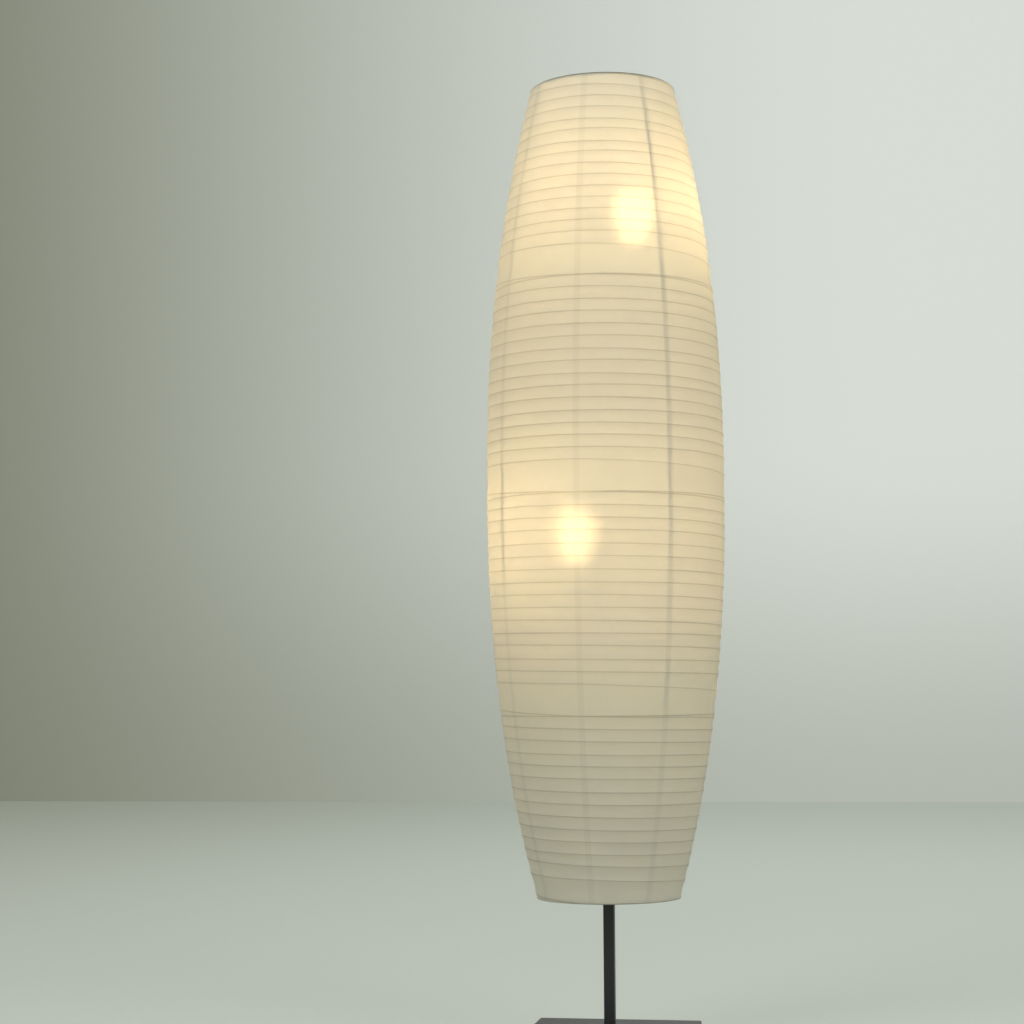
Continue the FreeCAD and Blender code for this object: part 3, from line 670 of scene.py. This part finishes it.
def wire_tree():
    """One tier's wire: a straight line, bent to the rule and swept."""
    tree, given = new_tree("rib wire", {**wire_inputs, "Start": ("Float", FIRST_SEAM),
                                        "Around": ("Int", AROUND),
                                        "Inset": ("Float", PAPER_WALL), "Thickness": ("Float",
                                                                                      WIRE_RADIUS),
                                        "Material": ("Material", None)})
    length = add(tree, "ShaderNodeMath", {0: given["Turns"], 1: 1.0}, operation="ADD")
    points = add(tree, "ShaderNodeMath", {0: length, 1: given["Around"], 2: 1.0},
                 operation="MULTIPLY_ADD")
    line = add(tree, "GeometryNodeCurvePrimitiveLine")
    many = add(tree, "GeometryNodeResampleCurve", {"Curve": line, "Count": points})
    factor = add(tree, "GeometryNodeSplineParameter").outputs["Factor"]
    turn = add(tree, "ShaderNodeMath", {0: factor, 1: length, 2: -1.0}, operation="MULTIPLY_ADD")
    height = wire_height(tree, given, turn)
    inside = add(tree, "ShaderNodeMath", {0: given["Inset"], 1: given["Thickness"]}, operation="ADD")
    radius = add(tree, "ShaderNodeMath", {0: barrel_radius(tree, height), 1: inside},
                 operation="SUBTRACT")
    angle = add(tree, "ShaderNodeMath", {0: turn, 1: 2 * math.pi, 2: given["Start"]},
                operation="MULTIPLY_ADD")
    place = around_axis(tree, radius, angle, height)
    bent = add(tree, "GeometryNodeSetPosition", {"Geometry": many, "Position": place})
    swept(tree, bent, given["Thickness"], WIRE_SIDES, given["Material"])
    return tree


def ring_tree():
    """A level ring, for the top, the hem and the paper's rolled edges."""
    tree, given = new_tree("wire ring", {"Radius": ("Float", 0.1), "Height": ("Float", 1.0),
                                         "Around": ("Int", AROUND),
                                         "Thickness": ("Float", RING_RADIUS), "Material": ("Material",
                                                                                           None)})
    circle = add(tree, "GeometryNodeCurvePrimitiveCircle",
                 {"Resolution": given["Around"], "Radius": given["Radius"]})
    lift = add(tree, "ShaderNodeCombineXYZ", {2: given["Height"]})
    raised = add(tree, "GeometryNodeSetPosition", {"Geometry": circle.outputs["Curve"], "Offset": lift})
    swept(tree, raised, given["Thickness"], RING_SIDES, given["Material"], cyclic=True)
    return tree


def strut_tree():
    """One strut bent to the barrel, copied at even angles."""
    tree, given = new_tree("struts", {"Bottom": ("Float", 0.2), "Top": ("Float", 1.4),
                                      "Start": ("Float", 0.0),
                                      "Count": ("Int", STRUTS), "Inset": ("Float", 0.002),
                                      "Thickness": ("Float", STRUT_RADIUS), "Material": ("Material",
                                                                                         None)})
    line = add(tree, "GeometryNodeCurvePrimitiveLine")
    many = add(tree, "GeometryNodeResampleCurve", {"Curve": line, "Count": STRUT_POINTS})
    factor = add(tree, "GeometryNodeSplineParameter").outputs["Factor"]
    height = add(tree, "ShaderNodeMapRange", {"Value": factor, "To Min": given["Bottom"],
                                              "To Max": given["Top"]})
    radius = add(tree, "ShaderNodeMath", {0: barrel_radius(tree, height), 1: given["Inset"]},
                 operation="SUBTRACT")
    place = around_axis(tree, radius, 0.0, height)
    bent = add(tree, "GeometryNodeSetPosition", {"Geometry": many, "Position": place})
    spots = add(tree, "GeometryNodePoints", {"Count": given["Count"]})
    index = add(tree, "GeometryNodeInputIndex")
    part = add(tree, "ShaderNodeMath", {0: index, 1: given["Count"]}, operation="DIVIDE")
    angle = add(tree, "ShaderNodeMath", {0: part, 1: 2 * math.pi, 2: given["Start"]},
                operation="MULTIPLY_ADD")
    turned = add(tree, "ShaderNodeCombineXYZ", {2: angle})
    copies = add(tree, "GeometryNodeInstanceOnPoints",
                 {"Points": spots, "Instance": bent, "Rotation": turned})
    lines = add(tree, "GeometryNodeRealizeInstances", {"Geometry": copies})
    swept(tree, lines, given["Thickness"], STRUT_SIDES, given["Material"])
    return tree


wire_group, ring_group, strut_group = wire_tree(), ring_tree(), strut_tree()
wire_finish = finishes["shade_wire"]
wires = joined("rib_wires", [grow("wire_%d" % i, wire_group, finishes["rib_wire"], **tier_values(i))
                             for i in range(len(TURNS))])
cad_ring_low, cad_ring_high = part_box("shade_rings")
ring_centre = cad_ring_high.x - RING_RADIUS
top_ring = grow("top_ring", ring_group, wire_finish, Radius=ring_centre,
                Height=cad_ring_high.z - RING_RADIUS)
hem_ring = grow("hem_ring", ring_group, wire_finish, Radius=ring_centre,
                Height=cad_ring_low.z + RING_RADIUS)
hem_roll = grow("hem_roll", ring_group, finishes["shade_paper"], Radius=END_RADIUS - HEM_RADIUS,
                Height=SHADE_BOTTOM + HEM_RADIUS, Thickness=HEM_RADIUS)
top_roll = grow("top_roll", ring_group, finishes["shade_paper"], Radius=END_RADIUS - HEM_RADIUS,
                Height=SHADE_TOP - HEM_RADIUS, Thickness=HEM_RADIUS)
strut_inset = PAPER_WALL + STRUT_CLEAR + STRUT_RADIUS
struts = grow("struts", strut_group, wire_finish, Bottom=cad_ring_low.z + 2 * RING_RADIUS,
              Top=cad_ring_high.z - 2 * RING_RADIUS, Start=FIRST_SEAM + 2 * math.pi / GORES,
              Inset=strut_inset)
print("wire faces", len(wires.data.polygons), "strut faces", len(struts.data.polygons))

# %% [markdown]
# ## Bulbs and lampholders
# These are turned shapes, so each is an outline spun round its own axis. The screw threads are a spiral:
# a rolled grid whose radius rises and falls once for each 3.6 mm of height and once for each turn.


# %% Turned pieces
TINY = 1e-7
TURNED_STEPS = 64
SHARP_ANGLE = math.radians(35)


def lathe(name, outline, axis, material, steps=TURNED_STEPS):
    """Spins a closed outline of (radius, height) points round an upright axis."""
    shell = bmesh.new()
    rings = []
    for radius, height in outline:
        count = 1 if radius < TINY else steps
        rings.append([shell.verts.new((axis.x + radius * math.cos(2 * math.pi * k / steps),
                                       axis.y + radius * math.sin(2 * math.pi * k / steps), height))
                      for k in range(count)])
    for first, second in zip(rings, rings[1:] + rings[:1]):
        if len(first) == len(second) == 1:
            continue
        for k in range(steps):
            corners = [first[k % len(first)], first[(k + 1) % len(first)],
                       second[(k + 1) % len(second)], second[k % len(second)]]
            shell.faces.new(dict.fromkeys(corners))
    bmesh.ops.recalc_face_normals(shell, faces=shell.faces)
    mesh = bpy.data.meshes.new(name)
    shell.to_mesh(mesh)
    shell.free()
    mesh.materials.append(material)
    mesh.shade_smooth()
    mesh.set_sharp_from_angle(angle=SHARP_ANGLE)
    return as_object(name, mesh)


def rounded(outline, radius, steps=4):
    """An outline whose inner corners are rounded, by a short curve from edge to edge."""
    soft = []
    for index, corner in enumerate(outline):
        here = Vector(corner)
        before = Vector(outline[index - 1]) - here
        after = Vector(outline[(index + 1) % len(outline)]) - here
        if here.x < TINY or min(before.length, after.length) < TINY:
            soft.append(corner)
            continue
        reach = min(radius, before.length * 0.45, after.length * 0.45)
        start = here + before.normalized() * reach
        end = here + after.normalized() * reach
        for k in range(steps + 1):
            t = k / steps
            point = start * (1 - t) ** 2 + here * 2 * t * (1 - t) + end * t ** 2
            soft.append((point.x, point.y))
    return soft


# %% Bulbs
NECK_RADIUS = 14.5 * MM
NECK_HEIGHT = 2 * MM
GLOBE_START = math.radians(-40)
GLOBE_END = math.radians(90)
GLOBE_STEPS = 24
THREAD_PANELS = 48
CAP_THREAD_DEPTH = 0.7 * MM
CAP_WALL = 0.5 * MM
COLLAR_HEIGHT = 4 * MM
COLLAR_EDGE = 1 * MM
COLLAR_INSET = 0.6 * MM
TIP_RADIUS = 5 * MM
CONTACT_HEIGHT = 1 * MM


def bulb_globe(side):
    """A neck, then most of a sphere."""
    low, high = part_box(side + "_bulb_globe")
    axis = (low + high) / 2
    globe = (high.x - low.x) / 2
    middle = high.z - globe
    outline = [(0, low.z), (NECK_RADIUS, low.z), (NECK_RADIUS, low.z + NECK_HEIGHT)]
    for step in range(GLOBE_STEPS):
        turn = GLOBE_START + (GLOBE_END - GLOBE_START) * step / GLOBE_STEPS
        outline.append((globe * math.cos(turn), middle + globe * math.sin(turn)))
    outline.append((0, high.z))
    piece = lathe(side + "_globe", outline, axis, finishes["opal_globe"])
    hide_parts(side + "_bulb_globe")
    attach(piece, side + "_bulb")


def thread_tree():
    """A thread rolled in sheet metal: a closed wall whose radius waves with height and turn."""
    tree, given = new_tree("screw thread", {"Radius": ("Float", 0.013), "Bottom": ("Float", 0.0),
                                            "Length": ("Float", 0.02), "Depth": ("Float", 0.0006),
                                            "Pitch": ("Float", 0.0036), "Material": ("Material", None)})
    grid = add(tree, "GeometryNodeMeshGrid", {"Size X": 1.0, "Size Y": 1.0,
                                              "Vertices X": THREAD_PANELS + 1,
                                              "Vertices Y": THREAD_PANELS + 1})
    flat = add(tree, "ShaderNodeSeparateXYZ", {0: add(tree, "GeometryNodeInputPosition")}).outputs
    share = add(tree, "ShaderNodeMath", {0: flat[0], 1: 0.5}, operation="ADD")
    along = add(tree, "ShaderNodeMath", {0: flat[1], 1: 0.5}, operation="ADD")
    rise = add(tree, "ShaderNodeMath", {0: along, 1: given["Length"]}, operation="MULTIPLY")
    turns = add(tree, "ShaderNodeMath", {0: rise, 1: given["Pitch"]}, operation="DIVIDE")
    phase = add(tree, "ShaderNodeMath", {0: turns, 1: share}, operation="SUBTRACT")
    phase = add(tree, "ShaderNodeMath", {0: phase, 1: 2 * math.pi}, operation="MULTIPLY")
    wave = add(tree, "ShaderNodeMath", {0: phase}, operation="COSINE")
    wave = add(tree, "ShaderNodeMath", {0: wave, 1: 0.5, 2: -0.5}, operation="MULTIPLY_ADD")
    radius = add(tree, "ShaderNodeMath", {0: wave, 1: given["Depth"], 2: given["Radius"]},
                 operation="MULTIPLY_ADD")
    height = add(tree, "ShaderNodeMath", {0: rise, 1: given["Bottom"]}, operation="ADD")
    angle = add(tree, "ShaderNodeMath", {0: share, 1: 2 * math.pi}, operation="MULTIPLY")
    rolled = add(tree, "GeometryNodeSetPosition", {"Geometry": grid.outputs["Mesh"],
                                                   "Position": around_axis(tree, radius, angle, height)})
    closed = add(tree, "GeometryNodeMergeByDistance", {"Geometry": rolled, "Distance": 0.001 * MM})
    smooth = add(tree, "GeometryNodeSetShadeSmooth", {"Geometry": closed, "Shade Smooth": True})
    real = add(tree, "GeometryNodeRealizeInstances", {"Geometry": smooth})
    painted = add(tree, "GeometryNodeSetMaterial", {"Geometry": real, "Material": given["Material"]})
    add(tree, "NodeGroupOutput", {0: painted})
    return tree


thread_group = thread_tree()


def shifted(piece, axis):
    """The piece moved sideways from the lamp's axis to a bulb's own axis."""
    piece.data.transform(Matrix.Translation((axis.x, axis.y, 0)))
    return piece


def bulb_cap(side):
    """Screw cap: a rolled thread under a plain collar, with an insulator and a contact at the tip."""
    low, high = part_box(side + "_bulb_cap")
    axis = (low + high) / 2
    cap = (high.x - low.x) / 2
    thread_bottom = low.z + TIP_RADIUS
    collar_bottom = high.z - COLLAR_HEIGHT
    thread = grow(side + "_cap_thread", thread_group, finishes["cap_metal"], Radius=cap,
                  Bottom=thread_bottom,
                  Length=collar_bottom - thread_bottom, Depth=CAP_THREAD_DEPTH)
    thickened(shifted(thread, axis), CAP_WALL, -1.0)
    collar = [(0, collar_bottom), (cap - COLLAR_INSET, collar_bottom), (cap, collar_bottom + COLLAR_EDGE),
              (cap, high.z), (0, high.z)]
    insulator_bottom = low.z + COLLAR_INSET
    insulator = [(0, insulator_bottom), (TIP_RADIUS, insulator_bottom),
                 (cap - 2 * COLLAR_INSET, thread_bottom), (0, thread_bottom)]
    contact_top = low.z + CONTACT_HEIGHT
    contact = [(0, low.z), (TIP_RADIUS - CONTACT_HEIGHT, low.z),
               (TIP_RADIUS - CONTACT_HEIGHT / 2, contact_top), (0, contact_top)]
    pieces = [thread, lathe(side + "_cap_collar", collar, axis, finishes["cap_metal"]),
              lathe(side + "_cap_insulator", rounded(insulator, 1 * MM), axis, finishes["holder_black"]),
              lathe(side + "_cap_contact", rounded(contact, 0.3 * MM), axis, finishes["brass"])]
    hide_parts(side + "_bulb_cap")
    for piece in pieces:
        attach(piece, side + "_bulb")


SIDES = ("lower", "upper")
for side in SIDES:
    bulb_globe(side)
    bulb_cap(side)
print("bulbs", len(SIDES))

# %% Lampholders
HOLDER_RADIUS = 19.5 * MM
HOLDER_WALL = 1.8 * MM
HOLDER_HEIGHT = 56 * MM
FOOT_RADIUS = 13 * MM
SHOULDER = 12 * MM
BOLT_RADIUS = 5 * MM
GROOVE_HEIGHT = 22 * MM
GROOVE = 0.6 * MM
LINER_RADIUS = 13.9 * MM
LINER_HEIGHT = 17 * MM
LINER_WALL = 0.3 * MM
CORE_HEIGHT = 6 * MM


def lamp_axis(side):
    low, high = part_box(side + "_bulb_cap")
    return (low + high) / 2


def bottom_of(node, side, height):
    """The two lampholders' pieces share a node: the lower one starts at its box's floor."""
    low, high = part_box(node)
    return low.z if side == "lower" else high.z - height


def holder_shell(side):
    """A phenolic cup: coned foot, a joint groove where cap and skirt screw together, a rolled rim."""
    floor = bottom_of("holder_shells", side, HOLDER_HEIGHT)
    inner = HOLDER_RADIUS - HOLDER_WALL
    outline = [(BOLT_RADIUS, 0), (FOOT_RADIUS, 0), (HOLDER_RADIUS, SHOULDER),
               (HOLDER_RADIUS, GROOVE_HEIGHT),
               (HOLDER_RADIUS - GROOVE, GROOVE_HEIGHT + GROOVE), (HOLDER_RADIUS,
                                                                  GROOVE_HEIGHT + 2 * GROOVE),
               (HOLDER_RADIUS, HOLDER_HEIGHT), (inner, HOLDER_HEIGHT), (inner, SHOULDER + 1 * MM),
               (FOOT_RADIUS - HOLDER_WALL, 2 * HOLDER_WALL), (BOLT_RADIUS, 2 * HOLDER_WALL)]
    outline = [(radius, floor + height) for radius, height in rounded(outline, 0.8 * MM)]
    return lathe(side + "_holder_shell", outline, lamp_axis(side), finishes["holder_black"])


def holder_liner(side):
    """The brass thread that the bulb screws into."""
    bottom = bottom_of("holder_liners", side, LINER_HEIGHT)
    liner = grow(side + "_holder_liner", thread_group, finishes["brass"], Radius=LINER_RADIUS,
                 Bottom=bottom,
                 Length=LINER_HEIGHT, Depth=LINER_WALL)
    return thickened(shifted(liner, lamp_axis(side)), LINER_WALL, -1.0)


def holder_core(side):
    """The porcelain disc under the contact."""
    inner = HOLDER_RADIUS - HOLDER_WALL
    bottom = bottom_of("holder_cores", side, CORE_HEIGHT)
    outline = [(0, bottom), (inner, bottom), (inner, bottom + CORE_HEIGHT), (0, bottom + CORE_HEIGHT)]
    return lathe(side + "_holder_core", rounded(outline, 0.6 * MM), lamp_axis(side),
                 finishes["porcelain"])


holder_parts = [(holder_shell, "holder_shells", "holder_black"), (holder_liner, "holder_liners", "brass"),
                (holder_core, "holder_cores", "porcelain")]
for maker, node, slot in holder_parts:
    for side in SIDES:
        piece = maker(side)
        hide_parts(node)
        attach(piece, "stand")
print("lampholder pieces", len(holder_parts) * len(SIDES))

# %% [markdown]
# ## The shade's pieces join their body, and the rest gets its finish
# Everything that hangs on the spider rides with the shade. The steel pieces of the model keep their shapes.

# %% Shade pieces ride on the shade
shade_pieces = {"shade_paper": [paper, hem_roll, top_roll],
                "shade_wire": [wires, top_ring, hem_ring, struts]}
for slot, pieces in shade_pieces.items():
    for piece in pieces:
        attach(piece, "shade")
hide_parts("shade_paper")
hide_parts("shade_rings")
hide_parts("shade_struts")

# %% Finishes of the model's own pieces
for entry in frame["record"]["subparts"]:
    node = frame["nodes"][entry["node"]]
    for holder in node.material_slots:
        holder.material = finishes[entry["material_slot"]]
